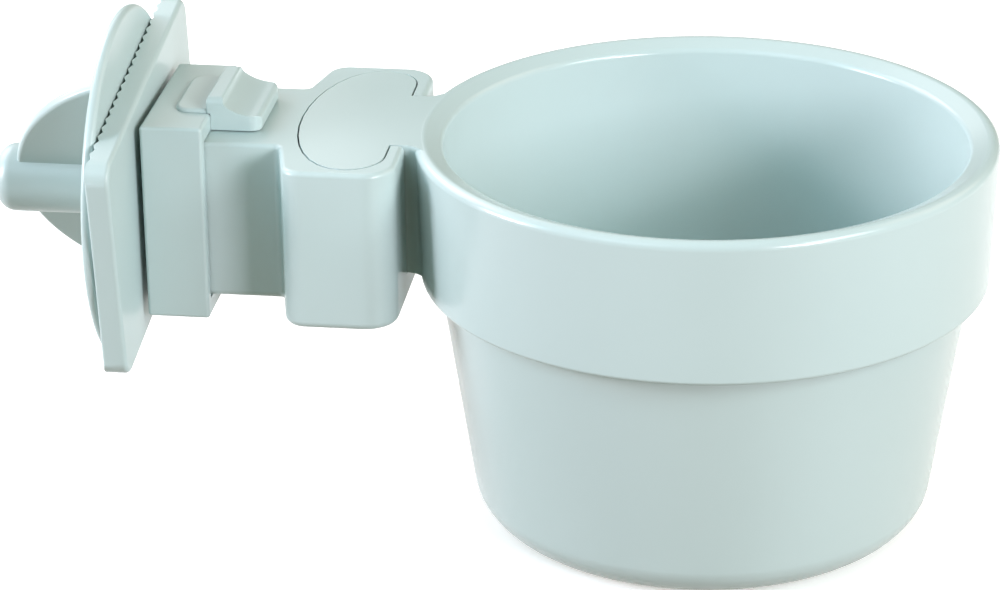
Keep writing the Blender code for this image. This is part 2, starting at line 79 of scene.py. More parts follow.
def rounded_path(corners, closed=False, upright=False):
    """Wire through corners (x, y, round), or (x, z, round) when upright, each rounded off."""
    shape = bmesh.new()
    verts = [shape.verts.new((x, 0, y) if upright else (x, y, 0)) for x, y, _ in corners]
    following = verts[1:] + verts[:1] if closed else verts[1:]
    for pair in zip(verts, following):
        shape.edges.new(pair)
    for vert, (_, _, tangent) in zip(verts, corners):
        if tangent:
            round_corners(shape, [vert], tangent)
    return shape


def round_corners(shape, verts, tangent):
    """Round corners of a wire off, starting at that distance from each."""
    bmesh.ops.bevel(
        shape, geom=verts, offset=tangent, offset_type="OFFSET", affect="VERTICES",
        segments=ROUND_SEGMENTS, profile=0.5, material=-1,
    )


def turned(corners, steps, closed=False):
    """Solid of revolution about Z under a rounded path of (radius, height, round)."""
    shape = rounded_path(corners, closed, upright=True)
    bmesh.ops.spin(
        shape, geom=list(shape.verts) + list(shape.edges), cent=(0, 0, 0), axis=(0, 0, 1),
        angle=2 * pi, steps=steps, use_merge=True,
    )
    bmesh.ops.remove_doubles(shape, verts=shape.verts, dist=SAME_PLACE)
    bmesh.ops.recalc_face_normals(shape, faces=shape.faces)
    return shape


def carved(shape, *tools):
    """Shape after each (operation, tool), by exact Booleans that leave no helper behind."""
    helpers = []
    for solid in [shape] + [tool for _, tool in tools]:
        mesh = bpy.data.meshes.new("helper")
        solid.to_mesh(mesh)
        solid.free()
        helper = bpy.data.objects.new("helper", mesh)
        bpy.context.scene.collection.objects.link(helper)
        helpers.append(helper)
    for (operation, _), helper in zip(tools, helpers[1:]):
        cut = helpers[0].modifiers.new("cut", "BOOLEAN")
        cut.operation = operation
        cut.solver = "EXACT"
        cut.object = helper
    result = bmesh.new()
    result.from_object(helpers[0], bpy.context.evaluated_depsgraph_get())
    for helper in helpers:
        mesh = helper.data
        bpy.data.objects.remove(helper)
        bpy.data.meshes.remove(mesh)
    bmesh.ops.remove_doubles(result, verts=result.verts, dist=SAME_PLACE)
    return result


def finished(name, shape, plastic):
    """Object at the origin from a finished shape, smooth but for its sharp edges."""
    bmesh.ops.recalc_face_normals(shape, faces=shape.faces)
    mesh = bpy.data.meshes.new(name)
    shape.to_mesh(mesh)
    shape.free()
    mesh.shade_smooth()
    mesh.set_sharp_from_angle(angle=SHARP_ANGLE)
    mesh.materials.append(plastic)
    made = bpy.data.objects.new(name, mesh)
    bpy.context.scene.collection.objects.link(made)
    evened = made.modifiers.new("flat_faces_stay_flat", "WEIGHTED_NORMAL")
    evened.keep_sharp = True
    return made


def moulded_plastic(name, pale, deep, gloss, grain):
    """Pale moulded plastic: faint flow marks, a fine skin and a few dull handling marks.

    gloss is the roughness of the clean skin and grain the depth of its texture in metres.
    """
    plastic = bpy.data.materials.new(name)
    plastic.use_nodes = True
    nodes = plastic.node_tree.nodes
    link = plastic.node_tree.links.new
    shader = nodes["Principled BSDF"]
    shader.inputs["IOR"].default_value = 1.49
    place = nodes.new("ShaderNodeTexCoord")

    flow = nodes.new("ShaderNodeTexNoise")
    flow.inputs["Scale"].default_value = 26.0
    flow.inputs["Detail"].default_value = 1.5
    flow.inputs["Distortion"].default_value = 0.4
    link(place.outputs["Object"], flow.inputs["Vector"])
    tint = nodes.new("ShaderNodeValToRGB")
    tint.color_ramp.interpolation = "EASE"
    tint.color_ramp.elements[0].position = 0.20
    tint.color_ramp.elements[0].color = deep
    tint.color_ramp.elements[1].position = 0.80
    tint.color_ramp.elements[1].color = pale
    link(flow.outputs["Fac"], tint.inputs["Fac"])
    link(tint.outputs["Color"], shader.inputs["Base Color"])

    rubbed = nodes.new("ShaderNodeTexNoise")
    rubbed.inputs["Scale"].default_value = 60.0
    rubbed.inputs["Detail"].default_value = 2.0
    rubbed.inputs["Roughness"].default_value = 0.5
    link(place.outputs["Object"], rubbed.inputs["Vector"])
    dull = nodes.new("ShaderNodeMapRange")
    dull.inputs["From Min"].default_value = 0.20
    dull.inputs["From Max"].default_value = 0.80
    dull.inputs["To Min"].default_value = gloss
    dull.inputs["To Max"].default_value = gloss + RUBBED_DULLER
    link(rubbed.outputs["Fac"], dull.inputs["Value"])
    link(dull.outputs["Result"], shader.inputs["Roughness"])

    skin = nodes.new("ShaderNodeTexNoise")
    skin.inputs["Scale"].default_value = 1400.0
    skin.inputs["Detail"].default_value = 3.0
    link(place.outputs["Object"], skin.inputs["Vector"])
    bump = nodes.new("ShaderNodeBump")
    bump.inputs["Strength"].default_value = 0.6
    bump.inputs["Distance"].default_value = grain
    link(skin.outputs["Fac"], bump.inputs["Height"])
    link(bump.outputs["Normal"], shader.inputs["Normal"])
    return plastic


cup = turned([
    (0, 0, 0),
    (BASE_RADIUS, 0, BASE_ROUND),
    (STEP_RADIUS, STEP_TOP, STEP_ROUND),
    (COLLAR_FOOT_RADIUS, STEP_TOP, COLLAR_FOOT_ROUND),
    (RIM_RADIUS, RIM_TOP, RIM_ROUND),
    (CROWN_RADIUS, RIM_TOP, CROWN_ROUND),
    (MOUTH_RADIUS, RIM_TOP - LIP_FALL, LIP_ROUND),
    (STEP_RADIUS - WALL / cos(WALL_TAPER), STEP_TOP, WALL_BEND),
    (INNER_RADIUS + CUP_FLOOR * tan(WALL_TAPER), CUP_FLOOR, CUP_FLOOR_ROUND),
    (0, CUP_FLOOR, 0),
], CUP_STEPS)
bowl_gloss = moulded_plastic("bowl_gloss", MINT_PALE, MINT_DEEP, gloss=0.20, grain=0.000004)


# Tongue: a short neck off the collar that ends in a bean-shaped head. It is moulded in one
# with the cup, and the head is pressed down into the socket of the arm.
TONGUE_TOP = RIM_TOP - 0.00002
NECK_HALF = 0.0132
NECK_FLOOR = TONGUE_TOP - 0.0257
FLARE_START_X = -0.0539
FLARE_END_X = -0.0500
FLARE_SPREAD = 0.0035
FLARE_ROUND = 0.0012
NECK_ROOT_RADIUS = COLLAR_FOOT_RADIUS - 0.0010
HEAD_WIDTH = 0.0526
HEAD_LENGTH = 0.0186
HEAD_CORNER = 0.0070
HEAD_WALL = 0.0022
HEAD_BACK_X = -0.0767
HEAD_MID_X = HEAD_BACK_X + HEAD_LENGTH - HEAD_CORNER
HEAD_FLOOR = 0.0481
HEAD_BOW_SHARE = 0.9999
SEAM_ROUND = 0.00025
SEAM_SEGMENTS = 2
TONGUE_SEAM_END_X = -0.0545
CORNER_ANGLE = radians(50)


def mirrored(half_corners):
    """Close an outline given for y above zero with its mirror image."""
    return half_corners + [(x, -y, tangent) for x, y, tangent in reversed(half_corners)]


def extruded(outline, start, end, along=(0, 0, 1)):
    """Solid block that fills a closed wire and runs along a direction."""
    bmesh.ops.edgeloop_fill(outline, edges=outline.edges)
    way = Vector(along)
    bmesh.ops.translate(outline, verts=outline.verts, vec=way * start)
    grown = bmesh.ops.extrude_face_region(outline, geom=list(outline.faces))
    moved = [item for item in grown["geom"] if isinstance(item, bmesh.types.BMVert)]
    bmesh.ops.translate(outline, verts=moved, vec=way * (end - start))
    bmesh.ops.recalc_face_normals(outline, faces=outline.faces)
    return outline


def bean(grow, low, high):
    """Block with the head's plan: bowed at the back and rounded at its front corners."""
    back = HEAD_LENGTH - HEAD_CORNER + grow
    front = HEAD_CORNER + grow
    bowed = back * HEAD_BOW_SHARE
    outline = rounded_path([
        (front, -back, 0), (front, back, 0), (-back, back, bowed), (-back, -back, bowed),
    ], closed=True)
    widen = (HEAD_WIDTH / 2 + grow) / back
    bmesh.ops.scale(outline, verts=outline.verts, vec=(1, widen, 1))
    corners = [vert for vert in outline.verts if vert.co.x > front - SAME_PLACE]
    round_corners(outline, corners, front)
    bmesh.ops.remove_doubles(outline, verts=outline.verts, dist=SAME_PLACE)
    bmesh.ops.translate(outline, verts=outline.verts, vec=(HEAD_MID_X, 0, 0))
    return extruded(outline, low, high)


def soften(shape, edges, width, segments):
    """Round chosen edges of a solid."""
    bmesh.ops.bevel(
        shape, geom=edges, offset=width, offset_type="OFFSET", affect="EDGES",
        segments=segments, profile=0.5, material=-1, clamp_overlap=True,
    )


def corner_edges(shape, inside):
    """Sharp edges of a solid whose middle passes the test inside(point)."""
    found = []
    for edge in shape.edges:
        if edge.is_manifold and edge.calc_face_angle() > CORNER_ANGLE:
            if inside((edge.verts[0].co + edge.verts[1].co) / 2):
                found.append(edge)
    return found


neck = extruded(rounded_path(mirrored([
    (HEAD_MID_X, NECK_HALF, 0),
    (FLARE_START_X, NECK_HALF, FLARE_ROUND),
    (FLARE_END_X, NECK_HALF + FLARE_SPREAD, 0),
]), closed=True), NECK_FLOOR, TONGUE_TOP)
core = turned([
    (0, 0, 0), (NECK_ROOT_RADIUS, 0, 0), (NECK_ROOT_RADIUS, 2 * RIM_TOP, 0), (0, 2 * RIM_TOP, 0),
], CUP_STEPS)
tongue = carved(
    neck,
    ("DIFFERENCE", core),
    ("UNION", bean(0, HEAD_FLOOR, TONGUE_TOP)),
    ("DIFFERENCE", bean(-HEAD_WALL, HEAD_FLOOR - HEAD_WALL, TONGUE_TOP - HEAD_WALL)),
)
soften(tongue, corner_edges(
    tongue, lambda point: point.z > TONGUE_TOP - SAME_PLACE and point.x < TONGUE_SEAM_END_X,
), SEAM_ROUND, SEAM_SEGMENTS)
bowl_piece = finished("bowl_moulding", carved(cup, ("UNION", tongue)), bowl_gloss)
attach(bowl_piece, "bowl_and_arm")
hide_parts("bowl")


# Arm: a square tube whose front end widens into a C-shaped socket block round the bowl's
# tongue. It is moulded in satin mint plastic, and a catch in its top takes the latch tooth.
ARM_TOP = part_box("socket_arm")[1].z
ARM_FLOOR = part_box("socket_arm")[0].z
ARM_END_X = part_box("socket_arm")[0].x
ARM_HALF = 0.0155
ARM_WALL = 0.0022
ARM_UNDER_EDGE = 0.0016
ARM_TOP_EDGE = 0.0010
BLOCK_FRONT_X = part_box("socket_arm")[1].x
BLOCK_FRONT_ROUND = 0.0060
BLOCK_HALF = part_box("socket_arm")[1].y
BLOCK_BACK_X = HEAD_BACK_X - 0.0019
BLOCK_BACK_ROUND = 0.0032
BLOCK_SLANT = 0.0030
BLOCK_ROOT_ROUND = 0.0012
SOCKET_SEAM_START_X = BLOCK_BACK_X - 0.001
SEAT_GAP = 0.0003
CATCH_FRONT_X = -0.0845
CATCH_BACK_X = -0.0874
CATCH_DEPTH = 0.0013
CATCH_HALF = 0.0063
RAMP_END_X = -0.0986
ABOVE = ARM_TOP + 0.0200


def block(low, high):
    """Plain solid block between two corners."""
    return extruded(rounded_path([
        (low[0], low[1], 0), (high[0], low[1], 0), (high[0], high[1], 0), (low[0], high[1], 0),
    ], closed=True), low[2], high[2])


def level_edges(shape, height):
    """Edges of a solid that lie flat at one height."""
    return [edge for edge in shape.edges
            if all(abs(vert.co.z - height) < SAME_PLACE for vert in edge.verts)]


arm_body = extruded(rounded_path(mirrored([
    (ARM_END_X, ARM_HALF, 0),
    (BLOCK_BACK_X, ARM_HALF, BLOCK_ROOT_ROUND),
    (BLOCK_BACK_X + BLOCK_SLANT, BLOCK_HALF, BLOCK_BACK_ROUND),
    (BLOCK_FRONT_X, BLOCK_HALF, BLOCK_FRONT_ROUND),
]), closed=True), ARM_FLOOR, ARM_TOP)
soften(arm_body, level_edges(arm_body, ARM_FLOOR), ARM_UNDER_EDGE, segments=5)
soften(arm_body, level_edges(arm_body, ARM_TOP), ARM_TOP_EDGE, segments=4)
catch = extruded(rounded_path([
    (CATCH_FRONT_X, ARM_TOP - CATCH_DEPTH, 0), (CATCH_FRONT_X, ABOVE, 0),
    (RAMP_END_X, ABOVE, 0), (RAMP_END_X, ARM_TOP, 0), (CATCH_BACK_X, ARM_TOP - CATCH_DEPTH, 0),
], closed=True, upright=True), -CATCH_HALF, CATCH_HALF, (0, 1, 0))
arm_shape = carved(
    arm_body,
    ("DIFFERENCE", bean(SEAT_GAP, HEAD_FLOOR - SEAT_GAP, ABOVE)),
    ("DIFFERENCE", block(
        (HEAD_MID_X, -NECK_HALF - SEAT_GAP, NECK_FLOOR - SEAT_GAP),
        (BLOCK_FRONT_X / 2, NECK_HALF + SEAT_GAP, ABOVE),
    )),
    ("DIFFERENCE", block(
        (2 * ARM_END_X, ARM_WALL - ARM_HALF, ARM_FLOOR + ARM_WALL),
        (HEAD_BACK_X - SEAT_GAP - ARM_WALL, ARM_HALF - ARM_WALL, ARM_TOP - ARM_WALL),
    )),
    ("DIFFERENCE", catch),
)
soften(arm_shape, corner_edges(
    arm_shape, lambda point: point.z > ARM_TOP - SAME_PLACE and point.x > SOCKET_SEAM_START_X,
), SEAM_ROUND, SEAM_SEGMENTS)
arm_satin = moulded_plastic("arm_satin", MINT_PALE, MINT_DEEP, gloss=0.30, grain=0.000006)
arm_piece = finished("arm_with_socket", arm_shape, arm_satin)
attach(arm_piece, "bowl_and_arm")
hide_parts("socket_arm")


# Sleeve: the short square box that the arm plugs into, open to the front. It is moulded in
# satin mint plastic, with a shallow tray in its roof for the latch and a bolt hole behind.
SLEEVE_LOW, SLEEVE_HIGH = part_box("receiver_sleeve")
SLEEVE_BACK = 0.0024
SLEEVE_EDGE = 0.0007
SHOULDER_HEIGHT = 0.0005
SHOULDER_RADIUS = 0.0090
SHOULDER_ROUND = 0.0003
SLEEVE_BACK_X = SLEEVE_LOW.x + SHOULDER_HEIGHT
BOLT_Z = 0.0620
BOLT_HOLE_HALF = 0.0047
TRAY_LEFT_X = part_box("latch_lever")[0].x + 0.0006
TRAY_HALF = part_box("latch_lever")[1].y - 0.0001
TRAY_FLOOR = SLEEVE_HIGH.z - 0.0013
TRAY_CORNER = 0.0027
TRAY_EDGE = 0.0001
TRAY_EDGE_END_X = -0.0945
BOLT_STEPS = 64


def on_bolt(shape, x, roll=0.0):
    """Move a shape built along Z on to the bolt's axis, its own Z pointing to -X."""
    place = Matrix.Translation((x, 0, BOLT_Z)) @ Matrix.Rotation(roll, 4, "X")
    shape.transform(place @ Matrix.Rotation(-pi / 2, 4, "Y"))
    return shape


sleeve_body = block(
    (SLEEVE_BACK_X, SLEEVE_LOW.y, SLEEVE_LOW.z), (SLEEVE_HIGH.x, SLEEVE_HIGH.y, SLEEVE_HIGH.z),
)
soften(sleeve_body, list(sleeve_body.edges), SLEEVE_EDGE, segments=5)
shoulder = on_bolt(turned([
    (0, SHOULDER_HEIGHT, 0), (SHOULDER_RADIUS, SHOULDER_HEIGHT, SHOULDER_ROUND),
    (SHOULDER_RADIUS, -SLEEVE_BACK / 2, 0), (0, -SLEEVE_BACK / 2, 0),
], BOLT_STEPS), SLEEVE_BACK_X)
tray = extruded(rounded_path([
    (TRAY_LEFT_X, -TRAY_HALF, TRAY_CORNER), (0, -TRAY_HALF, 0), (0, TRAY_HALF, 0),
    (TRAY_LEFT_X, TRAY_HALF, TRAY_CORNER),
], closed=True), TRAY_FLOOR, ABOVE)
sleeve_shape = carved(
    sleeve_body,
    ("DIFFERENCE", block(
        (SLEEVE_BACK_X + SLEEVE_BACK, -ARM_HALF - SEAT_GAP, ARM_FLOOR - SEAT_GAP),
        (0, ARM_HALF + SEAT_GAP, ARM_TOP + SEAT_GAP),
    )),
    ("DIFFERENCE", tray),
    ("UNION", shoulder),
    ("DIFFERENCE", block(
        (2 * SLEEVE_BACK_X, -BOLT_HOLE_HALF, BOLT_Z - BOLT_HOLE_HALF),
        (ARM_END_X, BOLT_HOLE_HALF, BOLT_Z + BOLT_HOLE_HALF),
    )),
)
soften(sleeve_shape, corner_edges(
    sleeve_shape,
    lambda point: point.z > SLEEVE_HIGH.z - SAME_PLACE and point.x < TRAY_EDGE_END_X,
), TRAY_EDGE, segments=2)
sleeve_satin = moulded_plastic("sleeve_satin", MINT_PALE, MINT_DEEP, gloss=0.30, grain=0.000006)
sleeve_piece = finished("sleeve_box", sleeve_shape, sleeve_satin)
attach(sleeve_piece, "sleeve")
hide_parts("receiver_sleeve")


# Thumb latch: a soft-edged pad on the sleeve's roof, a raised ridge for the thumb, a dished
# slope and a tooth below that drops into the arm's catch. It is one plastic moulding.
LATCH_LOW, LATCH_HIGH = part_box("latch_lever")
LATCH_HALF = LATCH_HIGH.y + 0.0005
LATCH_CORNER = 0.0024
LATCH_EDGE = 0.0008
LATCH_UNDER = ARM_TOP + SEAT_GAP
LATCH_UNDER_ROUND = 0.0006
LATCH_SOFT_FROM = LATCH_UNDER + 0.001
LATCH_NOSE_X = SLEEVE_HIGH.x + 0.00005
LATCH_END_TOP = LATCH_UNDER + 0.0029
LATCH_END_ROUND = 0.0011
RIDGE_BACK_X = SLEEVE_HIGH.x - 0.0007
RIDGE_BACK_ROUND = 0.0006
RIDGE_PLAN_X = RIDGE_BACK_X - 0.0001
RIDGE_PLAN_ROUND = 0.0005
RIDGE_FRONT_X = RIDGE_BACK_X + 0.0031
RIDGE_FRONT_ROUND = 0.0005
RIDGE_STEP = 0.0012
RIDGE_STEP_ROUND = 0.0007
RIDGE_END_ROUND = 0.0018
SLOPE_X = LATCH_HIGH.x - 0.0044
SLOPE_DISH = 0.0026
PAD_TOP = SLEEVE_HIGH.z + 0.0008
PAD_SEAT = SLEEVE_HIGH.z + 0.00006
PAD_HALF = LATCH_HIGH.y + 0.0002
PAD_LEFT_X = TRAY_LEFT_X - 0.0003
PAD_CORNER = 0.0030
PAD_RIGHT_X = RIDGE_BACK_X + 0.0010
PAD_RIGHT_CORNER = 0.0008
PAD_EDGE = 0.00070
ROOT_TOP = PAD_TOP - 0.0001
ROOT_FLOOR = PAD_TOP - 0.0015
ROOT_LEFT_X = TRAY_LEFT_X + 0.0003
ROOT_PLAN_X = TRAY_LEFT_X + 0.0002
ROOT_HALF = TRAY_HALF - 0.0001
ROOF_CUT_TOP = PAD_SEAT + 0.00004
TOOTH_FRONT_X = LATCH_HIGH.x - 0.0021
TOOTH_FRONT_ROUND = 0.0004
TOOTH_BACK_X = TOOTH_FRONT_X - 0.0020
TOOTH_BACK_ROUND = 0.0002
TOOTH_ROOT = LATCH_UNDER + 0.0005
TOOTH_HALF = 0.0060
BEYOND = 0.0200


def in_order(shape):
    """Copy of a shape, numbered by place, because Booleans leave its parts in a chance order."""
    verts = sorted(shape.verts, key=lambda vert: tuple(vert.co))
    rank = {vert: number for number, vert in enumerate(verts)}
    loops = []
    for face in shape.faces:
        loop = [rank[vert] for vert in face.verts]
        first = loop.index(min(loop))
        loops.append(loop[first:] + loop[:first])
    ordered = bmesh.new()
    copies = [ordered.verts.new(vert.co) for vert in verts]
    for loop in sorted(loops):
        ordered.faces.new([copies[number] for number in loop])
    shape.free()
    bmesh.ops.recalc_face_normals(ordered, faces=ordered.faces)
    return ordered


latch_side = extruded(rounded_path([
    (ROOT_LEFT_X, ROOT_FLOOR, 0),
    (LATCH_NOSE_X, ROOT_FLOOR, 0),
    (LATCH_NOSE_X, LATCH_UNDER, 0),
    (LATCH_HIGH.x, LATCH_UNDER, LATCH_UNDER_ROUND),
    (LATCH_HIGH.x, LATCH_END_TOP, LATCH_END_ROUND),
    (SLOPE_X, LATCH_END_TOP, SLOPE_DISH),
    (RIDGE_FRONT_X, LATCH_HIGH.z - RIDGE_STEP, RIDGE_STEP_ROUND),
    (RIDGE_FRONT_X, LATCH_HIGH.z, RIDGE_FRONT_ROUND),
    (RIDGE_BACK_X, LATCH_HIGH.z, RIDGE_BACK_ROUND),
    (RIDGE_BACK_X, ROOT_TOP, 0),
    (ROOT_LEFT_X, ROOT_TOP, 0),
], closed=True, upright=True), -BEYOND, BEYOND, (0, 1, 0))
latch_plan = extruded(rounded_path(mirrored([
    (ROOT_PLAN_X, ROOT_HALF, TRAY_CORNER),
    (RIDGE_PLAN_X, ROOT_HALF, 0),
    (RIDGE_PLAN_X, LATCH_HALF, RIDGE_PLAN_ROUND),
    (LATCH_HIGH.x, LATCH_HALF, LATCH_CORNER),
]), closed=True), LATCH_LOW.z - BEYOND, LATCH_HIGH.z + BEYOND)
ridge_ends = extruded(rounded_path([
    (-LATCH_HALF, -BEYOND, 0), (LATCH_HALF, -BEYOND, 0),
    (LATCH_HALF, LATCH_HIGH.z, RIDGE_END_ROUND), (-LATCH_HALF, LATCH_HIGH.z, RIDGE_END_ROUND),
], closed=True, upright=True), LATCH_LOW.x, -LATCH_LOW.x, (0, 1, 0))
bmesh.ops.rotate(ridge_ends, verts=ridge_ends.verts, matrix=Matrix.Rotation(pi / 2, 3, "Z"))
# The rounding of these edges depends on the order of the parts, so that is fixed first.
latch_shape = in_order(
    carved(latch_side, ("INTERSECT", latch_plan), ("INTERSECT", ridge_ends)),
)
soften(latch_shape, corner_edges(
    latch_shape,
    lambda point: point.x > RIDGE_BACK_X - SAME_PLACE and point.z > LATCH_SOFT_FROM,
), LATCH_EDGE, segments=4)
pad = extruded(rounded_path(mirrored([
    (PAD_LEFT_X, PAD_HALF, PAD_CORNER), (PAD_RIGHT_X, PAD_HALF, PAD_RIGHT_CORNER),
]), closed=True), PAD_SEAT, PAD_TOP)
soften(pad, level_edges(pad, PAD_TOP), PAD_EDGE, segments=5)
tooth = extruded(rounded_path([
    (TOOTH_BACK_X, LATCH_LOW.z, TOOTH_BACK_ROUND), (TOOTH_FRONT_X, LATCH_LOW.z, TOOTH_FRONT_ROUND),
    (TOOTH_FRONT_X, TOOTH_ROOT, 0), (TOOTH_BACK_X, TOOTH_ROOT, 0),
], closed=True, upright=True), -TOOTH_HALF, TOOTH_HALF, (0, 1, 0))
# Where the ridge is wider than the tray, it is cut clear of the roof's corners.
roof_corners = [
    block((RIDGE_BACK_X - BEYOND, near, LATCH_LOW.z), (LATCH_NOSE_X, far, ROOF_CUT_TOP))
    for near, far in ((ROOT_HALF, BEYOND), (-BEYOND, -ROOT_HALF))
]
latch_satin = moulded_plastic("latch_satin", MINT_PALE, MINT_DEEP, gloss=0.28, grain=0.000006)
latch_piece = finished("thumb_latch", carved(
    latch_shape,
    ("DIFFERENCE", roof_corners[0]),
    ("DIFFERENCE", roof_corners[1]),
    ("UNION", pad),
    ("UNION", tooth),
), latch_satin)
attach(latch_piece, "latch")
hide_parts("latch_lever")


# Bolt: a pan head inside the sleeve, a square neck in its back and a coarse thread of 2.5 mm
# pitch that carries the jaws and the knob. It is moulded plastic as well.
BOLT_LOW, BOLT_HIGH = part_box("clamp_bolt")
PAN_RADIUS = BOLT_HIGH.y
PAN_SEAT_X = SLEEVE_BACK_X + SLEEVE_BACK + SEAT_GAP
PAN_SEAT_ROUND = 0.0002
PAN_THICKNESS = BOLT_HIGH.x - PAN_SEAT_X
PAN_SIDE_ROUND = 0.0006
PAN_TOP_RADIUS = 0.0052
PAN_TOP_ROUND = 0.0008
SQUARE_HALF = 0.0044
SQUARE_INTO_THREAD = 0.0002
SQUARE_INTO_PAN = 0.0006
THREAD_RADIUS = 0.0039
THREAD_CORE = 0.0031
THREAD_PITCH = 0.0025
CREST_START = -0.68 * THREAD_PITCH
CREST_END = -0.52 * THREAD_PITCH
CREST_ROUND = 0.0001
FLANK_END = -0.20 * THREAD_PITCH
THREAD_START_X = SLEEVE_LOW.x
THREAD_TURN_STEPS = 40
THREAD_SPARE_TURNS = 2

thread_length = THREAD_START_X - BOLT_LOW.x
thread_turns = int(thread_length / THREAD_PITCH) + THREAD_SPARE_TURNS
shank = rounded_path([
    (THREAD_CORE, -THREAD_PITCH, 0), (THREAD_RADIUS, CREST_START, CREST_ROUND),
    (THREAD_RADIUS, CREST_END, CREST_ROUND), (THREAD_CORE, FLANK_END, 0), (THREAD_CORE, 0, 0),
], upright=True)
bmesh.ops.spin(
    shank, geom=list(shank.verts) + list(shank.edges), cent=(0, 0, 0), axis=(0, 0, 1),
    dvec=(0, 0, THREAD_PITCH / THREAD_TURN_STEPS), angle=2 * pi * thread_turns,
    steps=thread_turns * THREAD_TURN_STEPS, use_merge=False,
)
bmesh.ops.remove_doubles(shank, verts=shank.verts, dist=SAME_PLACE)
for height, facing in ((0, -1), (thread_length, 1)):
    cut = bmesh.ops.bisect_plane(
        shank, geom=list(shank.verts) + list(shank.edges) + list(shank.faces),
        plane_co=(0, 0, height), plane_no=(0, 0, facing), clear_outer=True,
    )
    rim = [item for item in cut["geom_cut"] if isinstance(item, bmesh.types.BMEdge)]
    bmesh.ops.edgeloop_fill(shank, edges=rim)
bmesh.ops.recalc_face_normals(shank, faces=shank.faces)
on_bolt(shank, THREAD_START_X)
pan_head = on_bolt(turned([
    (0, 0, 0), (PAN_RADIUS, 0, PAN_SEAT_ROUND), (PAN_RADIUS, -PAN_THICKNESS / 2, PAN_SIDE_ROUND),
    (PAN_TOP_RADIUS, -PAN_THICKNESS, PAN_TOP_ROUND), (0, -PAN_THICKNESS, 0),
], BOLT_STEPS), PAN_SEAT_X)
square_neck = block(
    (THREAD_START_X - SQUARE_INTO_THREAD, -SQUARE_HALF, BOLT_Z - SQUARE_HALF),
    (PAN_SEAT_X + SQUARE_INTO_PAN, SQUARE_HALF, BOLT_Z + SQUARE_HALF),
)
bolt_satin = moulded_plastic("bolt_satin", MINT_PALE, MINT_DEEP, gloss=0.32, grain=0.000005)
bolt_piece = finished(
    "clamp_screw", carved(pan_head, ("UNION", square_neck), ("UNION", shank)), bolt_satin,
)
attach(bolt_piece, "sleeve")
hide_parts("clamp_bolt")


# Jaw plate: a thick moulded plate that turns on the bolt. Upright V ridges on its left face
# take the wires of the cage, so the zigzag of their ends shows along its upper edge.
PLATE_WIDTH = 0.0699
PLATE_HEIGHT = 0.0458
PLATE_THICKNESS = 0.00455
PLATE_CORNER = 0.0040
PLATE_END_ROUND = 0.0006
PLATE_EDGE = 0.0009
PLATE_TURN = radians(8.8)
PLATE_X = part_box("clamp_plate")[1].x - 0.0004
WIRE_RIDGE_PITCH = 0.00324
WIRE_RIDGE_DEPTH = 0.0007
WIRE_RIDGE_ROUND = 0.0002
WIRE_RIDGE_MARGIN = 0.0024
BORE_RADIUS = 0.0043
BORE_REACH = 0.01

ridge_count = int((PLATE_WIDTH - 2 * WIRE_RIDGE_MARGIN) / WIRE_RIDGE_PITCH)
first_ridge = -ridge_count * WIRE_RIDGE_PITCH / 2
section = [
    (-PLATE_WIDTH / 2, 0, 0), (PLATE_WIDTH / 2, 0, 0),
    (PLATE_WIDTH / 2, PLATE_THICKNESS, PLATE_END_ROUND),
]
for ridge in reversed(range(ridge_count)):
    left = first_ridge + ridge * WIRE_RIDGE_PITCH
    section.append((left + WIRE_RIDGE_PITCH, PLATE_THICKNESS, WIRE_RIDGE_ROUND))
    section.append((
        left + WIRE_RIDGE_PITCH / 2, PLATE_THICKNESS - WIRE_RIDGE_DEPTH, WIRE_RIDGE_ROUND,
    ))
section.append((first_ridge, PLATE_THICKNESS, WIRE_RIDGE_ROUND))
section.append((-PLATE_WIDTH / 2, PLATE_THICKNESS, PLATE_END_ROUND))
ridged = extruded(
    rounded_path(section, closed=True, upright=True), -PLATE_HEIGHT, PLATE_HEIGHT, (0, 1, 0),
)
bmesh.ops.rotate(ridged, verts=ridged.verts, matrix=Matrix.Rotation(pi / 2, 3, "Z"))
blank = extruded(rounded_path(mirrored([
    (-PLATE_HEIGHT / 2, PLATE_WIDTH / 2, PLATE_CORNER),
    (PLATE_HEIGHT / 2, PLATE_WIDTH / 2, PLATE_CORNER),
]), closed=True), 0, 2 * PLATE_THICKNESS)
soften(blank, level_edges(blank, 0), PLATE_EDGE, segments=4)
bore = turned([
    (0, -BORE_REACH, 0), (BORE_RADIUS, -BORE_REACH, 0), (BORE_RADIUS, BORE_REACH, 0),
    (0, BORE_REACH, 0),
], BOLT_STEPS)
plate_shape = on_bolt(
    carved(ridged, ("INTERSECT", blank), ("DIFFERENCE", bore)), PLATE_X, PLATE_TURN,
)
plate_satin = moulded_plastic("plate_satin", MINT_PALE, MINT_DEEP, gloss=0.32, grain=0.000006)
plate_piece = finished("jaw_plate", plate_shape, plate_satin)
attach(plate_piece, "jaw")
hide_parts("clamp_plate")


# Pressure disc: a round moulded disc with rounded edges, which the knob pushes against the
# wires. It turns freely on the knob's spigot.
DISC_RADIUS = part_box("pressure_disc")[1].y
DISC_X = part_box("pressure_disc")[1].x
DISC_THICKNESS = DISC_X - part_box("pressure_disc")[0].x
DISC_ROUND = 0.0010
DISC_BORE = 0.0063
DISC_BORE_ROUND = 0.0002
DISC_STEPS = 144

disc_shape = on_bolt(turned([
    (DISC_BORE, 0, DISC_BORE_ROUND), (DISC_RADIUS, 0, DISC_ROUND),
    (DISC_RADIUS, DISC_THICKNESS, DISC_ROUND), (DISC_BORE, DISC_THICKNESS, DISC_BORE_ROUND),
], DISC_STEPS, closed=True), DISC_X)
disc_satin = moulded_plastic("disc_satin", MINT_PALE, MINT_DEEP, gloss=0.30, grain=0.000006)
disc_piece = finished("clamp_disc", disc_shape, disc_satin)
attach(disc_piece, "disc")
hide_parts("pressure_disc")


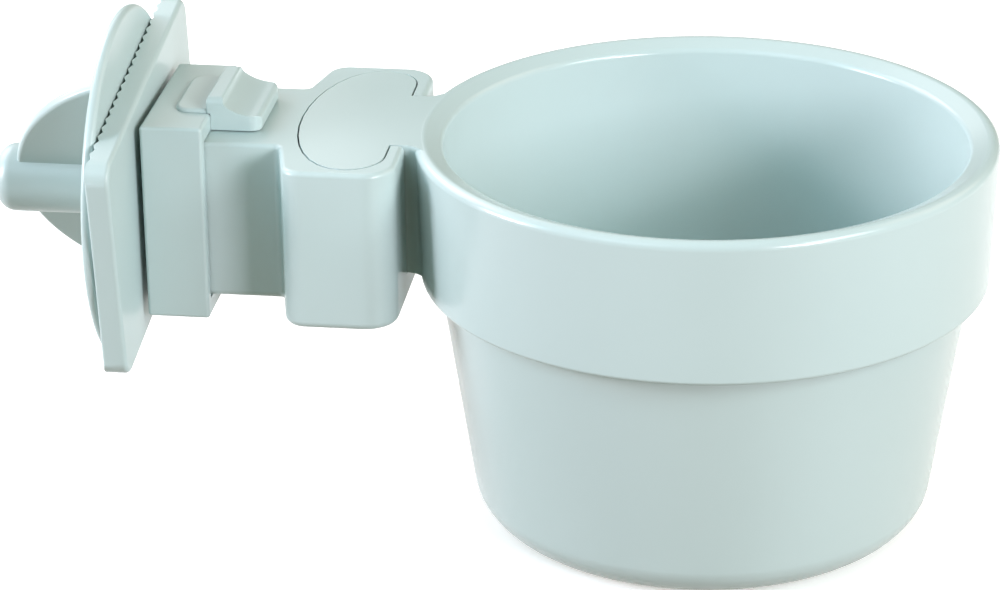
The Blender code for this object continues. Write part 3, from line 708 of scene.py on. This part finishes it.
# Wing knob: a threaded boss with a rounded tip and a D-shaped wing through it, turned by two
# fingers. It is one moulding, and its spigot passes through the disc.
KNOB_X = DISC_X - DISC_THICKNESS - SEAT_GAP
BOSS_LENGTH = KNOB_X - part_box("wing_knob")[0].x
BOSS_RADIUS = 0.0066
BOSS_TIP_ROUND = 0.0036
BOSS_FOOT_ROUND = 0.0004
BOSS_BORE_END = BOSS_LENGTH - 0.0026
BOSS_STEPS = 72
SPIGOT_RADIUS = 0.0060
SPIGOT_ROUND = 0.0003
WING_RADIUS = 0.0333
WING_HEIGHT = 0.0199
WING_HALF = 0.0012
WING_EDGE = 0.0009
WING_TURN = radians(32.7)
WING_STEPS = 160

boss = turned([
    (0, BOSS_LENGTH, 0), (BOSS_RADIUS, BOSS_LENGTH, BOSS_TIP_ROUND),
    (BOSS_RADIUS, 0, BOSS_FOOT_ROUND), (SPIGOT_RADIUS, 0, 0),
    (SPIGOT_RADIUS, -DISC_THICKNESS, SPIGOT_ROUND), (0, -DISC_THICKNESS, 0),
], BOSS_STEPS)
wing = bmesh.new()
bmesh.ops.create_circle(wing, cap_ends=True, segments=WING_STEPS, radius=WING_RADIUS)
bmesh.ops.translate(wing, verts=wing.verts, vec=(0, WING_HEIGHT - WING_RADIUS, 0))
bmesh.ops.bisect_plane(
    wing, geom=list(wing.verts) + list(wing.edges) + list(wing.faces),
    plane_co=(0, 0, 0), plane_no=(0, -1, 0), clear_outer=True,
)
grown = bmesh.ops.extrude_face_region(wing, geom=list(wing.faces))
far_side = [item for item in grown["geom"] if isinstance(item, bmesh.types.BMVert)]
bmesh.ops.translate(wing, verts=far_side, vec=(0, 0, 2 * WING_HALF))
bmesh.ops.translate(wing, verts=wing.verts, vec=(0, 0, -WING_HALF))
bmesh.ops.recalc_face_normals(wing, faces=wing.faces)
soften(wing, [
    edge for edge in wing.edges
    if abs(edge.verts[0].co.z - edge.verts[1].co.z) < SAME_PLACE
    and max(vert.co.y for vert in edge.verts) > SAME_PLACE
], WING_EDGE, segments=4)
bmesh.ops.rotate(wing, verts=wing.verts, matrix=Matrix.Rotation(pi / 2, 3, "X"))
thread_hole = turned([
    (0, -BORE_REACH, 0), (BORE_RADIUS, -BORE_REACH, 0), (BORE_RADIUS, BOSS_BORE_END, 0),
    (0, BOSS_BORE_END, 0),
], BOLT_STEPS)
knob_shape = on_bolt(
    carved(boss, ("UNION", wing), ("DIFFERENCE", thread_hole)), KNOB_X, WING_TURN,
)
knob_satin = moulded_plastic("knob_satin", MINT_PALE, MINT_DEEP, gloss=0.30, grain=0.000006)
knob_piece = finished("turn_knob", knob_shape, knob_satin)
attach(knob_piece, "knob")
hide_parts("wing_knob")


# Floor: a wide white sweep that the bowl stands on. It glows a little, as a lit sweep does,
# and it is hidden from diffuse rays, so it throws no soft light up on the plastic.
FLOOR_HALF = 3.0
FLOOR_DROP = 0.0002
FLOOR_WHITE = (0.92, 0.92, 0.91, 1)
FLOOR_GLOW = 0.32

sweep = bmesh.new()
bmesh.ops.create_grid(sweep, x_segments=1, y_segments=1, size=FLOOR_HALF)
floor_mesh = bpy.data.meshes.new("floor")
sweep.to_mesh(floor_mesh)
sweep.free()
floor_paper = bpy.data.materials.new("floor_paper")
floor_paper.use_nodes = True
floor_shader = floor_paper.node_tree.nodes["Principled BSDF"]
floor_shader.inputs["Base Color"].default_value = FLOOR_WHITE
floor_shader.inputs["Roughness"].default_value = 0.9
floor_shader.inputs["Emission Color"].default_value = (1, 1, 1, 1)
floor_shader.inputs["Emission Strength"].default_value = FLOOR_GLOW
floor_mesh.materials.append(floor_paper)
floor = bpy.data.objects.new("floor", floor_mesh)
floor.location = (0, 0, -FLOOR_DROP)
floor.visible_diffuse = False
bpy.context.scene.collection.objects.link(floor)


# Studio light: a low key softbox at the right front, a stronger low one at the left and
# weaker ones round the object, in a dim room with pale yellow walls.
LIGHT_DISTANCE = 1.0
LIGHT_TARGET = Vector((-0.030, 0, 0.048))


def way_out(azimuth, elevation):
    """Unit vector away from the object, azimuth counted from the front to the right."""
    return Vector((
        sin(azimuth) * cos(elevation), -cos(azimuth) * cos(elevation), sin(elevation),
    ))


def softbox(name, azimuth, elevation, size, power, colour):
    """Square softbox that faces the object, with its angles in degrees."""
    light = bpy.data.lights.new(name, "AREA")
    light.shape = "SQUARE"
    light.size = size
    light.energy = power
    light.color = colour
    lamp = bpy.data.objects.new(name, light)
    back = way_out(radians(azimuth), radians(elevation))
    lamp.location = LIGHT_TARGET + back * LIGHT_DISTANCE
    lamp.rotation_euler = (-back).to_track_quat("-Z", "Y").to_euler()
    bpy.context.scene.collection.objects.link(lamp)


softbox("key_softbox", 42, 15, size=0.24, power=5.8, colour=(0.99, 0.91, 1.0))
softbox("right_softbox", 60, 30, size=0.36, power=4.9, colour=(0.87, 0.98, 1.0))
softbox("left_softbox", -75, 15, size=0.30, power=8.3, colour=(1.0, 0.90, 0.97))
softbox("cool_softbox", -74, 31, size=0.36, power=2.7, colour=(0.45, 0.82, 1.0))
softbox("side_softbox", -120, 33, size=0.60, power=5.1, colour=(0.97, 0.90, 1.0))
softbox("back_softbox", -150, 33, size=0.60, power=1.5, colour=(1.0, 0.98, 1.0))
softbox("warm_softbox", 120, 40, size=0.60, power=1.9, colour=(1.0, 0.76, 0.64))
softbox("high_softbox", -30, 45, size=0.50, power=1.5, colour=(0.68, 0.82, 1.0))
room = bpy.data.worlds.new("dim_room")
room.use_nodes = True
room.node_tree.nodes["Background"].inputs["Color"].default_value = (1.0, 1.0, 0.65, 1)
room.node_tree.nodes["Background"].inputs["Strength"].default_value = 0.20
bpy.context.scene.world = room
bpy.context.scene.view_settings.view_transform = "Standard"


# Camera: the photograph's view, slightly right of the bowl's front and above it, through a
# long lens.
VIEW_AZIMUTH = radians(7.02)
VIEW_ELEVATION = radians(23.1)
VIEW_ROLL = radians(-0.31)
VIEW_DISTANCE = 0.69196
VIEW_TARGET = Vector((-0.030, 0, 0.04799))
VIEW_SHIFT_X = -0.0483
VIEW_SHIFT_Y = -0.0293
FOCAL_SHARE = 3.6072
SENSOR_WIDTH = 36.0

view_back = way_out(VIEW_AZIMUTH, VIEW_ELEVATION)
level_right = (-view_back).cross(Vector((0, 0, 1))).normalized()
level_up = level_right.cross(-view_back)
view_right = cos(VIEW_ROLL) * level_right + sin(VIEW_ROLL) * level_up
view_up = -sin(VIEW_ROLL) * level_right + cos(VIEW_ROLL) * level_up
lens = bpy.data.cameras.new("camera")
lens.sensor_width = SENSOR_WIDTH
lens.lens = FOCAL_SHARE * SENSOR_WIDTH
lens.shift_x = VIEW_SHIFT_X
lens.shift_y = VIEW_SHIFT_Y
camera = bpy.data.objects.new("camera", lens)
turn = Matrix((view_right, view_up, view_back)).transposed().to_4x4()
camera.matrix_world = Matrix.Translation(VIEW_TARGET + view_back * VIEW_DISTANCE) @ turn
bpy.context.scene.collection.objects.link(camera)
bpy.context.scene.camera = camera
